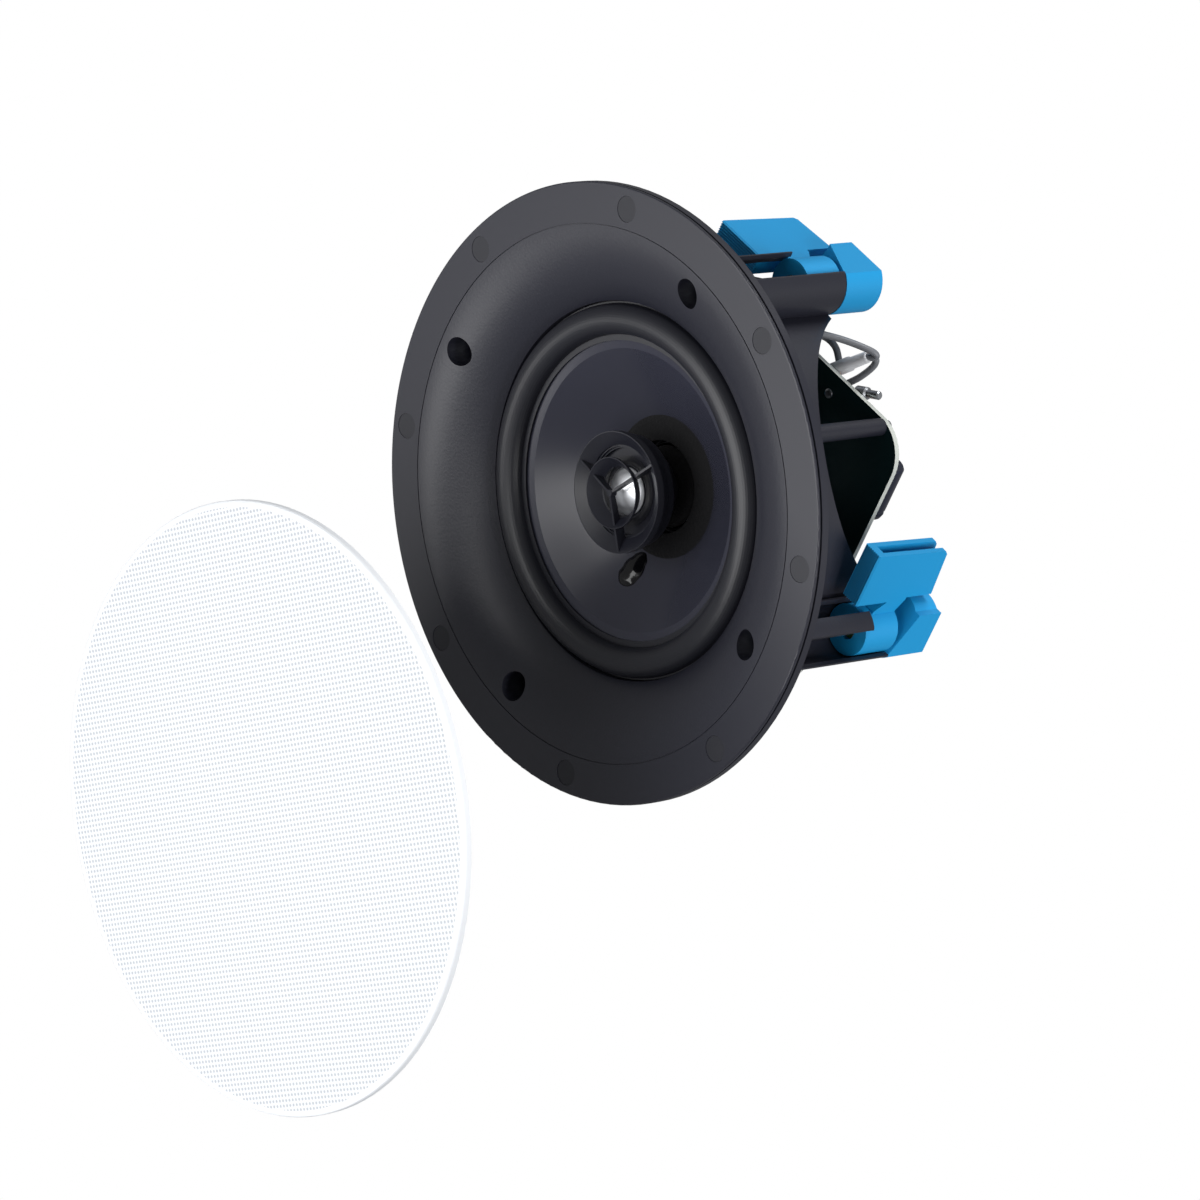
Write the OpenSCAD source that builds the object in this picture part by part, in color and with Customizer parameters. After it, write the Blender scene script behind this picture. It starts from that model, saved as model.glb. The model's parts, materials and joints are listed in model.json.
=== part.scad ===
// Round in-ceiling loudspeaker: a moulded frame with four dog-leg clamps, a cone driver,
// a small dome driver on a stem in front of it, a crossover board behind and a magnetic grille.
// Every depth is measured from the front face of the flange towards the back of the speaker.
// The finished model has its origin at the centre of the flange's back face, +Z into the ceiling.

/* [Flange and dish] */
// Outer radius of the flange that covers the hole in the ceiling
flange_r = 114; // [110:0.5:120]
// Thickness of the flange
flange_t = 5.2; // [4:0.1:8]
// Thickness of the flange's front lip, ahead of the groove in its edge
lip_t = 1.2; // [0.8:0.1:2]
// Width of the groove in the flange's edge
edge_groove_w = 0.9; // [0.5:0.1:1.5]
// Depth of the groove in the flange's edge
edge_groove_d = 0.8; // [0.3:0.1:2]
// Radius at which the dish leaves the flat of the flange
dish_r = 99; // [97:0.5:102]
// Radius of the dish's arc, seen in section
dish_arc_r = 37.7; // [36:0.1:42]
// Thickness of the dish
shell_t = 2.4; // [2:0.1:3]
// Radius of the opening that the driver looks out of
opening_r = 70; // [69.8:0.1:71]
// Width and depth of the fine groove between flange and dish
seam_w = 0.4; // [0.2:0.05:0.8]
// Distance from the dish's edge out to the spigot's outside
spigot_step = 1.2; // [1.1:0.1:1.6]
// Length of the spigot that centres the frame in the hole
spigot_l = 10; // [7:0.5:12]
// Wall of the spigot
spigot_t = 2; // [1.2:0.1:3]

/* [Flange magnets] */
// Number of magnets that hold the grille
magnet_count = 8; // [4:2:12]
// Radius of the circle that the flange magnets stand on
magnet_pcd_r = 106.2; // [105:0.1:107]
// Radius of a flange magnet
flange_magnet_r = 4.8; // [3:0.1:5.5]
// Thickness of a flange magnet
flange_magnet_t = 2.5; // [1.5:0.1:3.5]

/* [Frame wall and posts] */
// Outer radius of the wall behind the dish
wall_r = 81.2; // [80.6:0.1:82]
// Thickness of the wall behind the dish
wall_t = 2.3; // [1.6:0.1:2.6]
// Radius of the four arches cut into the wall
arch_r = 54.6; // [50:0.2:58]
// Depth of the lowest point of an arch
arch_low = 38.5; // [32:0.5:46]
// Radius at which the board's posts stand
post_pcd_r = 73.6; // [73.4:0.1:74.2]
// Angle of the first post, from a clamp
post_angle = 39; // [34:1:46]
// Radius of a post at its foot
post_foot_r = 3.6; // [3:0.1:3.8]
// Radius of a post at its tip
post_tip_r = 3.2; // [2.4:0.1:3.6]

/* [Clamp towers] */
// Radius at which the clamp screws stand
tower_pcd_r = 89.5; // [89:0.1:90]
// Outer radius of a tower
tower_r = 12; // [11.6:0.1:12.4]
// Wall of a tower
tower_t = 1.8; // [1.2:0.1:2]
// Depth of the end of a tower
tower_end = 70; // [64:0.5:71.5]
// Depth of the end of the tower's low side, under the parked clamp
rail_end = 55; // [44:0.5:55]
// Width of the tower's slot
slot_w = 13.4; // [12.8:0.1:14]
// Depth at which the screw's collar plate starts
plate_front = 14; // [13.5:0.1:15]
// Thickness of the collar plate
plate_t = 4; // [2.5:0.1:4]
// Radius of the hole through which the screw is reached
access_r = 5.5; // [4.8:0.1:6]

/* [Clamp screws] */
// Radius of the clamp screw
screw_r = 2; // [1.5:0.05:2.2]
// Radius of the screw's head
screw_head_r = 4; // [3:0.1:4.5]
// Height of the screw's head
screw_head_h = 2.6; // [2:0.1:3]
// Depth of the cross recess in the head
recess_d = 1.5; // [0.8:0.1:1.8]
// Depth of the screw's tip
screw_end = 86; // [82:0.5:88]
// Clearance around the screw and between turning faces
run_clear = 0.3; // [0.2:0.05:0.5]

/* [Clamps] */
// Radius of the clamp's hub
hub_r = 9.6; // [9:0.1:9.7]
// Depth at which the parked hub starts
hub_front = 53; // [52:0.5:55]
// Depth at which the parked hub ends
hub_back = 69.6; // [66:0.2:69.6]
// Travel of the clamp along its screw
travel = 32.5; // [28:0.5:32.5]
// Depth of the underside of the parked clamp's arm
arm_front = 58; // [56.5:0.5:60]
// Depth of the serrated face that grips the ceiling board
grip_face = 47; // [46.5:0.5:50]
// Depth of the back edge of the clamp's leg
leg_back = 83.6; // [80:0.2:85]
// Distance from the screw to the near end of the leg
leg_near = 14; // [13.2:0.1:14.5]
// Distance from the screw to the tip of the leg
leg_tip = 36.4; // [30:0.2:36.4]
// Thickness of the leg and the arm
leg_t = 8.3; // [6:0.1:8.6]
// Offset of the leg towards the middle of the speaker
leg_offset = 0.55; // [0.3:0.05:0.8]
// Air beside the arm in the slot that it is parked in
park_clear = 0.4; // [0.3:0.05:0.6]
// Thickness of the leg's two blades
blade_t = 2.2; // [1.4:0.1:2.6]
// Thickness of the leg's front wall, teeth included
grip_t = 4; // [2.4:0.1:5]
// Number of teeth on the serrated face
tooth_count = 8; // [5:1:10]
// Height of a tooth
tooth_h = 0.7; // [0.3:0.05:1]
// Outer radius of the threaded bush in the hub
bush_r = 3.6; // [3:0.1:4.5]
// Length of the threaded bush
bush_l = 12; // [8:0.5:13]
// Clearance between the bush and the hub
bush_clear = 0.05; // [0.03:0.01:0.1]

/* [Tower caps] */
// Radius of a tower's cap
cap_r = 12.2; // [12:0.1:12.6]
// Depth of the back of a tower's cap
cap_back = 88.5; // [86:0.5:90]
// Distance from the screw to the flat on the cap's outer side
cap_flat = 9.3; // [8.5:0.1:9.8]
// Distance from the screw to the cap's square corner, towards the parked clamp
cap_corner = 10.2; // [9.5:0.1:10.4]
// Rise of the cap's front edge where the clamp swings under it
cap_rise = 8.5; // [7:0.5:10]

/* [Cone driver] */
// Depth of the face of the basket's rim, where the surround is glued
rim_face = 16.3; // [15.8:0.1:16.8]
// Radius of the rim's raised face
rim_r = 69.6; // [69.2:0.1:69.7]
// Radius of the basket's mounting ring
basket_r = 76.3; // [75.8:0.1:76.8]
// Thickness of the basket's metal
basket_t = 1.3; // [1:0.1:1.6]
// Thickness of the gasket between frame and basket
gasket_t = 0.8; // [0.5:0.1:1.5]
// Angle of the tag strip behind the basket, from a clamp
strip_angle = -90; // [-96:1:-84]
// Depth of the ledge that carries the spider
spider_ledge = 44.6; // [44:0.1:46]
// Outer radius of the spider
spider_r = 41; // [38:0.5:41]
// Number of waves in the spider
spider_waves = 5; // [3:1:6]
// Radius of the surround's roll, seen in section
roll_r = 5.75; // [5:0.05:6]
// Thickness of the surround's rubber
roll_t = 0.6; // [0.4:0.05:0.8]
// Outer radius of the cone
cone_r = 57.6; // [57:0.1:58]
// Radius at which the cone's flat lip ends
cone_lip_r = 52.3; // [50:0.1:54]
// Depth of the cone at the end of its lip
cone_lip_depth = 17.4; // [17:0.1:18]
// Depth of the cone at the voice coil
cone_neck_depth = 39.6; // [38:0.2:41]
// Bow of the cone's side
cone_bow = 0.9; // [0:0.1:2]
// Thickness of the cone
cone_t = 0.5; // [0.3:0.05:0.8]
// Outer radius of the foam collar in the neck of the cone
collar_r = 26.6; // [24:0.1:28]
// Depth of the collar's front face
collar_face = 33.2; // [32:0.1:34]
// Distance of the blob of set glue from the middle of the cone
glue_r = 34; // [30:0.5:40]
// Clearance between the blob of set glue and the cone under it
glue_film = 0.15; // [0.1:0.05:0.3]
// Angle of the blob of set glue, from a clamp
glue_angle = 79; // [60:1:90]
// Inner radius of the voice coil's former
former_r = 16; // [15.8:0.05:16.1]
// Thickness of the former
former_t = 0.3; // [0.2:0.05:0.35]
// Thickness of the winding
coil_t = 0.55; // [0.3:0.05:0.6]
// Length of the winding
coil_l = 9; // [6:0.5:12]
// Radius of the pole
pole_r = 15.4; // [15:0.05:15.5]
// Radius of the hole in the top plate
gap_r = 17.4; // [17.3:0.05:17.8]
// Depth of the front of the top plate
motor_front = 50; // [49.5:0.1:51]
// Thickness of the top plate
top_plate_t = 5; // [4:0.1:6]
// Outer radius of the ferrite ring
ferrite_r = 40; // [38:0.5:44]
// Thickness of the ferrite ring
ferrite_t = 12; // [10:0.5:13]
// Thickness of the back plate
back_plate_t = 5; // [4:0.1:5.5]
// Radius of the back plate
back_plate_r = 38; // [34:0.5:39]
// Radius of the bore through the pole, for the dome driver's wires
pole_bore_r = 4.5; // [3:0.1:5]

/* [Dome driver] */
// Outer radius of the dome driver's mouth
mouth_r = 22.5; // [21:0.1:24]
// Depth of the mouth's edge
mouth_depth = 10; // [9:0.1:11]
// Radius of the throat behind the mouth
throat_r = 16.1; // [15.8:0.1:16.8]
// Depth of the seam between the mouth ring and the cup
cup_front = 16.6; // [16.2:0.1:17]
// Depth of the bottom of the cup
cup_back = 27; // [26:0.2:28]
// Radius of the bottom of the cup
cup_back_r = 14.5; // [13.5:0.1:15]
// Radius of the inner ring's edge
inner_ring_r = 13.2; // [12:0.1:14]
// Depth of the inner ring's edge
inner_ring_depth = 7.6; // [7:0.1:8]
// Radius of the inner ring's throat
inner_throat_r = 9.3; // [8.8:0.1:10]
// Depth of the point where the three blades meet
blade_hub_depth = 6.7; // [6:0.1:7.5]
// Thickness of a blade
shield_blade_t = 0.9; // [0.6:0.05:1.4]
// Angle of the first blade, from a clamp
shield_angle = 56.3; // [0:0.1:120]
// Radius of the dome
dome_r = 9.5; // [9:0.1:9.8]
// Depth of the dome's top
dome_top = 12.2; // [12:0.1:13]
// Depth of the dome's edge
dome_edge = 16.4; // [16:0.1:17]
// Radius of the stem
stem_r = 7; // [5.5:0.1:8]
// Radius of the stem's foot
stem_foot_r = 11; // [9:0.1:13]

/* [Crossover board] */
// Depth of the board's front face
board_front = 77; // [76:0.2:78]
// Thickness of the board
board_t = 2; // [1.6:0.1:2.4]
// Half the width of the board
board_half = 60.2; // [59.5:0.1:61]
// Radius of the board's corners
board_corner_r = 15.7; // [14:0.1:17]
// Radius of a board screw
board_screw_r = 1.4; // [1:0.05:1.6]
// Radius of a large capacitor
cap_big_r = 8; // [6:0.5:9]
// Length of a large capacitor
cap_big_l = 30; // [22:1:34]
// Outer radius of an inductor's winding
coil_out_r = 12; // [9:0.5:13]
// Height of an inductor's winding
coil_h = 9; // [6:0.5:10]

/* [Terminal block] */
// Width of the terminal block
terminal_w = 26; // [22:1:30]
// Depth of the terminal block, front to back
terminal_h = 13; // [11:0.5:15]
// Travel of a terminal's lever
lever_travel = 3; // [2:0.1:4]

/* [Grille] */
// Outer radius of the grille's folded rim
grille_r = 113; // [111:0.5:114]
// Height of the folded rim
grille_h = 3.2; // [2.6:0.1:5]
// Thickness of the grille's sheet
grille_t = 0.8; // [0.5:0.05:1.2]
// Thickness of the cloth behind the sheet
scrim_t = 0.4; // [0.2:0.05:0.6]
// Sideways distance of the removed grille
grille_aside = 132; // [120:1:160]
// Distance of the removed grille from its seat, away from the ceiling
grille_down = 100; // [60:1:160]
// Air left between the seated grille and the flange
seat_gap = 0.3; // [0.2:0.05:0.6]

/* [Wires] */
// Radius of an insulated wire
wire_r = 1.3; // [0.8:0.05:1.5]
// Radius of a tinsel lead
tinsel_r = 0.6; // [0.4:0.05:0.8]
// Radius of a push-on connector's sleeve
sleeve_r = 2.7; // [2:0.1:3]

/* [Hidden] */
$fn = 96;
eps = 0.01;

clamp_step = 90;
edge_round = 0.5;
spigot_r = dish_r + spigot_step;
tower_trim_r = spigot_r - 1;
lip_depth = arc_depth(opening_r, dish_arc_r);
seat_depth = arc_depth(opening_r, dish_arc_r - shell_t);
plate_back = plate_front + plate_t;
tower_bore_r = tower_r - tower_t;
arch_centre = arch_low + arch_r;
basket_face = seat_depth + gasket_t;
basket_back = basket_face + basket_t;
woofer_screw_pcd_r = (opening_r + wall_r - wall_t) / 2;
woofer_screw_angle = 65;
former_out_r = former_r + former_t;
motor_back = motor_front + top_plate_t + ferrite_t + back_plate_t;
board_back = board_front + board_t;
bush_front = hub_front + 2;
leg_x = -leg_t / 2 - leg_offset;
stem_front = cup_back;
roll_mid_r = (cone_r + rim_r - 0.7) / 2;
roll_depth = rim_face - roll_t;

// Depth of an arc of the dish at radius r; arc_r is the arc's own radius.
function arc_depth(r, arc_r) = dish_arc_r - sqrt(arc_r * arc_r - (dish_r - r) * (dish_r - r));

// Depth of the cone's front face at radius r.
function cone_depth(r) =
    let (s = (cone_lip_r - r) / (cone_lip_r - former_out_r))
    cone_lip_depth + (cone_neck_depth - cone_lip_depth) * s + cone_bow * sin(180 * s);

// Depth of the spider at a share s of the way from the coil to its rim.
function spider_depth(s) = spider_ledge - 1.2 + 0.9 * sin(360 * spider_waves * s);

// Moves a piece from depths behind the flange's front face to the finished frame.
module seated() translate([0, 0, -flange_t]) children();

// Turns a piece into the place of clamp number n.
module at_clamp(n) rotate([0, 0, (n - 1) * clamp_step]) translate([tower_pcd_r, 0, 0]) children();

// A disc or ring between two depths.
module ring(r_out, r_in, front, back) {
    translate([0, 0, front]) difference() {
        cylinder(r = r_out, h = back - front);
        if (r_in > 0) translate([0, 0, -1]) cylinder(r = r_in, h = back - front + 2);
    }
}

// The space behind the dish's outer face, so that feet and towers stop inside the shell.
module behind_dish() {
    rotate_extrude() {
        intersection() {
            translate([dish_r, dish_arc_r]) circle(r = dish_arc_r - shell_t / 2);
            translate([opening_r, 0]) square([tower_trim_r - opening_r, dish_arc_r]);
        }
        translate([opening_r, seat_depth - 1]) square([tower_trim_r - opening_r, board_front + 20]);
    }
}

// Section of the flange, dish, collar, spigot and wall.
module shell_section() {
    difference() {
        union() {
            translate([dish_r, 0]) square([flange_r - dish_r, flange_t]);
            intersection() {
                difference() {
                    translate([dish_r, dish_arc_r]) circle(r = dish_arc_r);
                    translate([dish_r, dish_arc_r]) circle(r = dish_arc_r - shell_t);
                }
                translate([opening_r, 0]) square([dish_r - opening_r, seat_depth]);
            }
            translate([opening_r, lip_depth]) square([shell_t, seat_depth - lip_depth]);
            translate([spigot_r - spigot_t, flange_t / 2]) square([spigot_t, spigot_l - flange_t / 2]);
        }
        translate([dish_r - seam_w, -eps]) square([seam_w, seam_w]);
        translate([flange_r - edge_groove_d, lip_t]) square([edge_groove_d + 1, edge_groove_w]);
        translate([flange_r - edge_round, -eps]) difference() {
            square([edge_round + 1, edge_round + eps]);
            translate([0, edge_round + eps]) circle(r = edge_round, $fn = 32);
        }
    }
}

// Wall behind the dish, with an arch cut between each pair of towers.
module arched_wall() {
    difference() {
        ring(wall_r, wall_r - wall_t, arc_depth(wall_r, dish_arc_r - shell_t / 2), tower_end);
        for (a = [45, 135])
            rotate([0, 0, a]) translate([0, 0, arch_centre]) rotate([90, 0, 0])
                cylinder(r = arch_r, h = 3 * wall_r, center = true);
    }
}

// One tower in its own place: a foot with the screw's collar plate, and a slotted tube above.
module tower() {
    difference() {
        cylinder(r = tower_r, h = tower_end);
        translate([0, 0, plate_back]) cylinder(r = tower_bore_r, h = tower_end);
        translate([0, -slot_w / 2, plate_back + 2]) cube([tower_r + 1, slot_w, tower_end]);
        translate([leg_x - park_clear, -tower_r - 1, arm_front - travel - 1])
            cube([leg_t + 2 * park_clear, tower_r, tower_end]);
        translate([leg_x - park_clear, -tower_r - 1, rail_end])
            cube([2 * tower_r, tower_r + 1, tower_end]);
    }
}

module mounting_frame() {
    color("#3a3a44") difference() {
        union() {
            rotate_extrude() shell_section();
            arched_wall();
            intersection() {
                union() {
                    for (n = [1:4]) at_clamp(n) tower();
                    for (k = [0:3]) {
                        rotate([0, 0, post_angle + 90 * k]) translate([post_pcd_r, 0, 0])
                            cylinder(r1 = post_foot_r, r2 = post_tip_r, h = board_front, $fn = 48);
                        rotate([0, 0, woofer_screw_angle + 90 * k])
                            translate([woofer_screw_pcd_r, 0, 0])
                                cylinder(r = 3.4, h = seat_depth, $fn = 48);
                    }
                }
                behind_dish();
            }
        }
        for (n = [1:4]) at_clamp(n) {
            translate([0, 0, -1]) cylinder(r = access_r, h = plate_front + 1);
            cylinder(r = screw_r + run_clear, h = plate_back + 1, $fn = 48);
            translate([0, 0, plate_back]) cylinder(r = tower_bore_r, h = tower_end);
        }
        for (k = [0:magnet_count - 1])
            rotate([0, 0, (k + 0.5) * 360 / magnet_count]) translate([magnet_pcd_r, 0, -1])
                cylinder(r = flange_magnet_r, h = flange_magnet_t + 1, $fn = 64);
        for (k = [0:3]) {
            rotate([0, 0, post_angle + 90 * k])
                translate([post_pcd_r, 0, board_front - 9])
                    cylinder(r = board_screw_r, h = 10, $fn = 32);
            rotate([0, 0, woofer_screw_angle + 90 * k])
                translate([woofer_screw_pcd_r, 0, seat_depth - 5])
                    cylinder(r = 1.25, h = 6, $fn = 32);
        }
    }
}

module flange_magnets() {
    color("#45454f") for (k = [0:magnet_count - 1])
        rotate([0, 0, (k + 0.5) * 360 / magnet_count]) translate([magnet_pcd_r, 0, 0.15])
            cylinder(r = flange_magnet_r - 0.1, h = flange_magnet_t - 0.15, $fn = 64);
}

// Round holes in the driver's mounting ring, for the screws and the board's posts.
module mounting_ring_holes(front) {
    for (k = [0:3]) {
        rotate([0, 0, woofer_screw_angle + 90 * k]) translate([woofer_screw_pcd_r, 0, front - 1])
            cylinder(r = 1.6, h = 6, $fn = 32);
        rotate([0, 0, post_angle + 90 * k]) translate([post_pcd_r, 0, front - 1])
            cylinder(r = post_foot_r + run_clear, h = 6, $fn = 48);
    }
}

module woofer_gasket() {
    color("#1c1c20") difference() {
        ring(basket_r, opening_r + 0.2, seat_depth, basket_face);
        mounting_ring_holes(seat_depth);
    }
}

module woofer_basket() {
    color("#26262c") difference() {
        rotate_extrude() polygon([
            [rim_r, rim_face], [rim_r, basket_face], [basket_r, basket_face],
            [basket_r, basket_back], [62.4, basket_back], [48.4, spider_ledge - 2.4],
            [spider_r + 2, spider_ledge - 2.4], [spider_r + 2, spider_ledge + basket_t],
            [37.4, spider_ledge + basket_t], [37.4, motor_front], [gap_r + 1, motor_front],
            [gap_r + 1, motor_front - basket_t], [36, motor_front - basket_t],
            [36, spider_ledge], [spider_r + 0.6, spider_ledge], [spider_r + 0.6, spider_ledge - 3.7],
            [47.6, spider_ledge - 3.7], [60.6, basket_face + 0.6], [60.6, rim_face]
        ]);
        mounting_ring_holes(basket_face);
        for (k = [0:5])
            rotate([0, 0, strip_angle + 60 * k]) translate([44, -11, basket_back + 3.5])
                cube([24, 22, spider_ledge - basket_back - 9]);
    }
}

module woofer_screws() {
    color("#8d8f94") for (k = [0:3])
        rotate([0, 0, woofer_screw_angle + 90 * k]) translate([woofer_screw_pcd_r, 0, 0]) {
            translate([0, 0, seat_depth - 4.5])
                cylinder(r = 1.2, h = basket_back - seat_depth + 4.6, $fn = 32);
            translate([0, 0, basket_back]) cylinder(r1 = 2.9, r2 = 2.2, h = 1.8, $fn = 32);
        }
}

module woofer_surround() {
    arc = [for (i = [0:20]) 180 * i / 20];
    color("#2a2a31") rotate_extrude() polygon(concat(
        [[rim_r, rim_face], [rim_r, roll_depth]],
        [for (a = arc) [roll_mid_r + roll_r * cos(a), roll_depth - roll_r * sin(a)]],
        [[cone_r - 2.2, roll_depth], [cone_r - 2.2, rim_face - eps]],
        [[roll_mid_r - roll_r + roll_t, rim_face - eps]],
        [for (i = [20:-1:0]) [
            roll_mid_r + (roll_r - roll_t) * cos(arc[i]),
            roll_depth - (roll_r - roll_t) * sin(arc[i])
        ]],
        [[roll_mid_r + roll_r - roll_t, rim_face]]
    ));
}

module woofer_cone() {
    steps = 14;
    radii = [for (i = [0:steps]) cone_lip_r + (former_out_r - cone_lip_r) * i / steps];
    color("#5a5c66") rotate_extrude() polygon(concat(
        [[cone_r, rim_face]],
        [for (r = radii) [r, cone_depth(r)]],
        [for (i = [steps:-1:0]) [radii[i] + cone_t * 0.4, cone_depth(radii[i]) + cone_t]],
        [[cone_r, rim_face + cone_t]]
    ));
}

module cone_collar() {
    color("#1a1a1e") rotate_extrude() polygon([
        [former_out_r + 1, collar_face], [collar_r - 2.2, collar_face],
        [collar_r, cone_depth(collar_r) - eps], [former_out_r + 1, cone_depth(former_out_r + 1) - eps]
    ]);
}

module lead_glue() {
    color("#121215") difference() {
        rotate([0, 0, glue_angle]) translate([glue_r, 0, cone_depth(glue_r)]) scale([1.2, 0.85, 0.5])
            sphere(r = 5.5, $fn = 48);
        rotate_extrude() polygon([
            for (i = [0:12]) let (q = glue_r + 12 - 2 * i) [q, cone_depth(q) - glue_film],
            [glue_r - 12, 90], [glue_r + 12, 90]
        ]);
    }
}

module voice_coil_former() {
    color("#b99b5a") ring(former_out_r, former_r, cone_neck_depth - 1.6, motor_front + coil_l + 2);
}

module voice_coil() {
    middle = motor_front + top_plate_t / 2;
    color("#b4632a") ring(former_out_r + coil_t, former_out_r, middle - coil_l / 2, middle + coil_l / 2);
}

module spider() {
    steps = spider_waves * 6;
    color("#c9a24b") rotate_extrude() polygon(concat(
        [for (i = [0:steps]) [
            former_out_r + (spider_r - former_out_r) * i / steps, spider_depth(i / steps) - 0.25
        ]],
        [[spider_r, spider_ledge]],
        [for (i = [steps:-1:0]) [
            former_out_r + (spider_r - former_out_r) * i / steps, spider_depth(i / steps) + 0.2
        ]]
    ));
}

module top_plate() {
    color("#8b8f93") ring(ferrite_r - 4, gap_r, motor_front, motor_front + top_plate_t);
}

module ferrite_ring() {
    color("#303235") ring(ferrite_r, pole_r + 6, motor_front + top_plate_t,
        motor_front + top_plate_t + ferrite_t);
}

module back_plate() {
    front = motor_front + top_plate_t + ferrite_t;
    color("#8b8f93") rotate_extrude() polygon([
        [pole_bore_r, motor_front], [pole_r - 0.6, motor_front], [pole_r, motor_front + 0.6],
        [pole_r, front], [back_plate_r, front], [back_plate_r, motor_back - 1.2],
        [back_plate_r - 1.2, motor_back], [pole_bore_r, motor_back]
    ]);
}

// Tag strip that takes the driver's wires, riveted behind one arm of the basket.
module lead_strip() {
    color("#2b2622") rotate([0, 0, strip_angle]) translate([64.5, -9, basket_back + eps])
        cube([5, 18, 2]);
    color("#c9c3b0") for (s = [-1, 1])
        rotate([0, 0, strip_angle]) translate([66.2, s * 5 - 1.4, basket_back + 2])
            cube([0.8, 2.8, 7]);
}

module tweeter_stem() {
    color("#26262c") rotate_extrude() polygon([
        [3, stem_front], [stem_r + 1.5, stem_front], [stem_r, stem_front + 3],
        [stem_r, motor_front - 5], [stem_foot_r, motor_front - 2.5], [stem_foot_r, motor_front],
        [3, motor_front]
    ]);
}

module tweeter_cup() {
    color("#2e2e35") rotate_extrude() polygon([
        [3, cup_back - 2.4], [cup_back_r - 1.6, cup_back - 2.4], [throat_r + 2.2, cup_front + 4],
        [throat_r + 2.2, cup_front], [mouth_r - 1.2, cup_front], [mouth_r - 1.8, cup_front + 3],
        [cup_back_r + 1, cup_back - 1.4], [cup_back_r, cup_back], [3, cup_back]
    ]);
}

// Mouth ring, inner ring and the three blades that carry it, moulded as one.
module tweeter_shield() {
    color("#3a3a44") {
        rotate_extrude() polygon([
            [mouth_r, mouth_depth], [mouth_r, mouth_depth + 3], [mouth_r - 1.2, cup_front],
            [throat_r, cup_front], [throat_r, mouth_depth + 5], [throat_r + 0.6, mouth_depth + 5],
            [throat_r + 0.6, mouth_depth + 4.1], [throat_r + 1.2, mouth_depth + 4.1],
            [throat_r + 1.2, mouth_depth + 3.4], [mouth_r - 0.3, mouth_depth]
        ]);
        rotate_extrude() polygon([
            [inner_ring_r, inner_ring_depth], [inner_ring_r, inner_ring_depth + 1],
            [inner_throat_r + 0.9, inner_ring_depth + 5], [inner_throat_r, inner_ring_depth + 5],
            [inner_throat_r, inner_ring_depth + 4.2], [inner_ring_r - 0.3, inner_ring_depth]
        ]);
        for (k = [0:2])
            rotate([0, 0, shield_angle + 120 * k]) rotate([90, 0, 0])
                translate([0, 0, -shield_blade_t / 2]) linear_extrude(height = shield_blade_t)
                    polygon([
                        [0.3, blade_hub_depth + 0.1], [mouth_r - 0.5, mouth_depth + 0.3],
                        [throat_r + 1.7, mouth_depth + 3.9], [inner_ring_r - 0.5, mouth_depth + 3.1],
                        [inner_throat_r + 0.4, dome_top - 0.9], [0.3, blade_hub_depth + 2.4]
                    ]);
        translate([0, 0, blade_hub_depth]) cylinder(r = 1.3, h = 2.6, $fn = 32);
    }
}

module tweeter_faceplate() {
    color("#202025") ring(throat_r + 2, dome_r + 1.7, cup_front + 0.1, cup_front + 1.4);
}

module tweeter_surround() {
    color("#17171a") rotate_extrude() polygon([
        [dome_r - 0.6, dome_edge], [dome_r + 0.6, dome_edge - 0.6], [dome_r + 1.7, dome_edge],
        [dome_r + 3.4, dome_edge], [dome_r + 3.4, cup_front + 0.1], [dome_r - 0.6, cup_front + 0.1]
    ]);
}

module tweeter_dome() {
    rise = dome_edge - dome_top;
    ball_r = (dome_r * dome_r + rise * rise) / (2 * rise);
    color("#d9dbde") intersection() {
        translate([0, 0, dome_top + ball_r]) difference() {
            sphere(r = ball_r);
            sphere(r = ball_r - 0.25);
        }
        translate([0, 0, dome_top - 1]) cylinder(r = dome_r - 0.6 - eps, h = rise + 1);
    }
}

module tweeter_motor() {
    color("#7b7f84") {
        ring(dome_r + 1.4, dome_r, cup_front + 1.4, cup_back - 2.4 - eps);
        ring(dome_r + 0.1, 3, cup_back - 4, cup_back - 2.4 - eps);
        ring(dome_r - 1, 3, cup_front + 2, cup_back - 4 + eps);
    }
}

module board_outline() {
    half = board_half;
    corner = half - board_corner_r;
    square([2 * half, 2 * corner], center = true);
    square([2 * corner, 2 * half], center = true);
    for (x = [-1, 1], y = [-1, 1]) translate([x * corner, y * corner]) circle(r = board_corner_r);
}

module crossover_board() {
    color("#16332a") translate([0, 0, board_front]) difference() {
        linear_extrude(height = board_t) board_outline();
        for (k = [0:3])
            rotate([0, 0, post_angle + 90 * k]) translate([post_pcd_r, 0, -1])
                cylinder(r = board_screw_r + 0.2, h = board_t + 2, $fn = 32);
        translate([0, 0, -1]) cylinder(r = 3, h = board_t + 2, $fn = 48);
    }
}

module board_screws() {
    color("#b9bcc1") for (k = [0:3])
        rotate([0, 0, post_angle + 90 * k]) translate([post_pcd_r, 0, 0]) {
            translate([0, 0, board_front - 8]) cylinder(r = board_screw_r - 0.05, h = 9 + board_t, $fn = 32);
            translate([0, 0, board_back]) cylinder(r1 = 2.8, r2 = 2.1, h = 1.7, $fn = 32);
        }
}

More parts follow.
